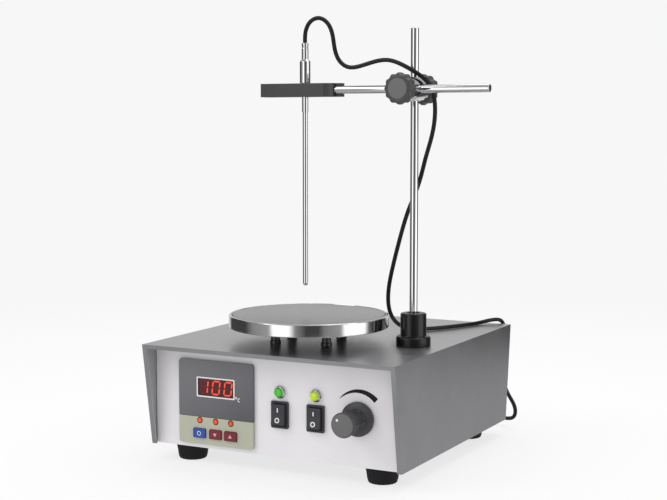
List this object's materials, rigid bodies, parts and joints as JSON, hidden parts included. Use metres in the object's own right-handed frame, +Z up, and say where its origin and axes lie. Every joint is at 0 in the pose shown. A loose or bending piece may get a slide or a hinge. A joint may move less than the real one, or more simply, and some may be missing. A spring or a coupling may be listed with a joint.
{
  "type": "magnetic stirrer",
  "caption": "Bench magnetic stirrer with a round hot plate, temperature controller, rocker switches, speed knob, and a rod stand holding a temperature probe on its cord.",
  "frame": {"origin": "bottom centre of the box round all the pieces but the sensor cord and its plug, on the table the feet stand on", "axes": "+X to the right seen from the front, +Y to the back, +Z up; the controls face -Y"},
  "size_m": [0.268, 0.2961, 0.3682],
  "materials": {
    "steel_sheet": "satin stainless sheet",
    "chrome": "polished",
    "white_paint": "smooth white paint",
    "dark_metal": "dark lacquered metal",
    "black_rubber": "matte",
    "cord_rubber": "smooth jacket",
    "black_plastic": "satin moulded",
    "grey_plastic": "moulded",
    "circuit_board": "solder mask",
    "red_window": "tinted clear",
    "green_lens": "tinted clear",
    "yellow_lens": "tinted clear",
    "blue_key": "moulded",
    "maroon_key": "moulded"
  },
  "bodies": {
    "root": {"top_cover": "steel_sheet", "base_pan": "steel_sheet", "plate_shield": "steel_sheet", "plate_post_1": "steel_sheet", "plate_post_2": "steel_sheet", "plate_post_3": "steel_sheet", "plate_post_4": "steel_sheet", "motor_bracket": "steel_sheet", "rod_nut": "steel_sheet", "hot_plate": "chrome", "heat_lamp_bezel": "chrome", "stir_lamp_bezel": "chrome", "support_rod": "chrome", "sensor_socket": "chrome", "front_panel": "white_paint", "rear_panel": "white_paint", "heater_disc": "dark_metal", "motor_body": "dark_metal", "transformer": "dark_metal", "speed_pot": "dark_metal", "foot_front_left": "black_rubber", "foot_front_right": "black_rubber", "foot_rear_left": "black_rubber", "foot_rear_right": "black_rubber", "cord_tail": "cord_rubber", "controller_case": "black_plastic", "heat_switch_body": "black_plastic", "stir_switch_body": "black_plastic", "rod_collar": "black_plastic", "power_inlet": "black_plastic", "cord_plug": "black_plastic", "controller_bezel": "grey_plastic", "control_board": "circuit_board", "display_window": "red_window", "heat_lamp_lens": "green_lens", "stir_lamp_lens": "yellow_lens"},
    "drive": {"motor_shaft": "chrome", "magnet_holder": "black_plastic", "magnet_a": "chrome", "magnet_b": "chrome"},
    "speed": {"speed_knob": "black_plastic", "pot_shaft": "chrome"},
    "heat_switch": {"heat_rocker": "black_plastic"},
    "stir_switch": {"stir_rocker": "black_plastic"},
    "set_key": {"key_set": "blue_key"},
    "down_key": {"key_down": "maroon_key"},
    "up_key": {"key_up": "maroon_key"},
    "lift": {"cord_drop": "cord_rubber"},
    "boss": {"boss_head": "chrome", "cord_clamp_turn": "cord_rubber"},
    "front_knob": {"front_clamp_knob": "grey_plastic", "front_clamp_screw": "steel_sheet"},
    "rear_knob": {"rear_clamp_knob": "grey_plastic", "rear_clamp_screw": "steel_sheet"},
    "arm": {"cross_rod": "chrome", "probe_holder": "black_plastic", "cord_arch": "cord_rubber"},
    "probe": {"probe_tube": "chrome", "probe_sleeve": "chrome", "cord_probe_loop": "cord_rubber"}
  },
  "joints": [
    {"name": "drive_spin", "type": "hinge", "parent": "root", "child": "drive", "pos_m": [-0.019, -0.04235, 0.0838], "axis": [0, 0, 1], "continuous": true},
    {"name": "speed_turn", "type": "hinge", "parent": "root", "child": "speed", "pos_m": [0.0565, -0.10035, 0.0521], "axis": [0, 1, 0], "range_deg": [-100, 190]},
    {"name": "heat_rock", "type": "hinge", "parent": "root", "child": "heat_switch", "pos_m": [-0.0133, -0.09815, 0.0486], "axis": [1, 0, 0], "range_deg": [0, 10]},
    {"name": "stir_rock", "type": "hinge", "parent": "root", "child": "stir_switch", "pos_m": [0.019, -0.09815, 0.0486], "axis": [1, 0, 0], "range_deg": [0, 10]},
    {"name": "set_press", "type": "slide", "parent": "root", "child": "set_key", "axis": [0, 1, 0], "range_m": [0, 0.0008], "stiffness_N_per_m": 300, "springref_m": -0.0008},
    {"name": "down_press", "type": "slide", "parent": "root", "child": "down_key", "axis": [0, 1, 0], "range_m": [0, 0.0008], "stiffness_N_per_m": 300, "springref_m": -0.0008},
    {"name": "up_press", "type": "slide", "parent": "root", "child": "up_key", "axis": [0, 1, 0], "range_m": [0, 0.0008], "stiffness_N_per_m": 300, "springref_m": -0.0008},
    {"name": "lift_slide", "type": "slide", "parent": "root", "child": "lift", "axis": [0, 0, 1], "range_m": [-0.018, 0.03], "deforming": ["cord_drop"]},
    {"name": "swivel", "type": "hinge", "parent": "lift", "child": "boss", "pos_m": [0.0659, -0.01905, 0.3078], "axis": [0, 0, 1], "range_deg": [-60, 60], "deforming": ["cord_clamp_turn"]},
    {"name": "front_knob_turn", "type": "hinge", "parent": "boss", "child": "front_knob", "pos_m": [0.0659, -0.04065, 0.3078], "axis": [0, -1, 0], "range_deg": [0, 180]},
    {"name": "rear_knob_turn", "type": "hinge", "parent": "boss", "child": "rear_knob", "pos_m": [0.0659, -0.00765, 0.3078], "axis": [0, 1, 0], "range_deg": [0, 180]},
    {"name": "reach_slide", "type": "slide", "parent": "boss", "child": "arm", "axis": [1, 0, 0], "range_m": [-0.02, 0.015], "deforming": ["cord_arch"]},
    {"name": "probe_slide", "type": "slide", "parent": "arm", "child": "probe", "axis": [0, 0, 1], "range_m": [0, 0.02], "deforming": ["cord_probe_loop"]}
  ]
}
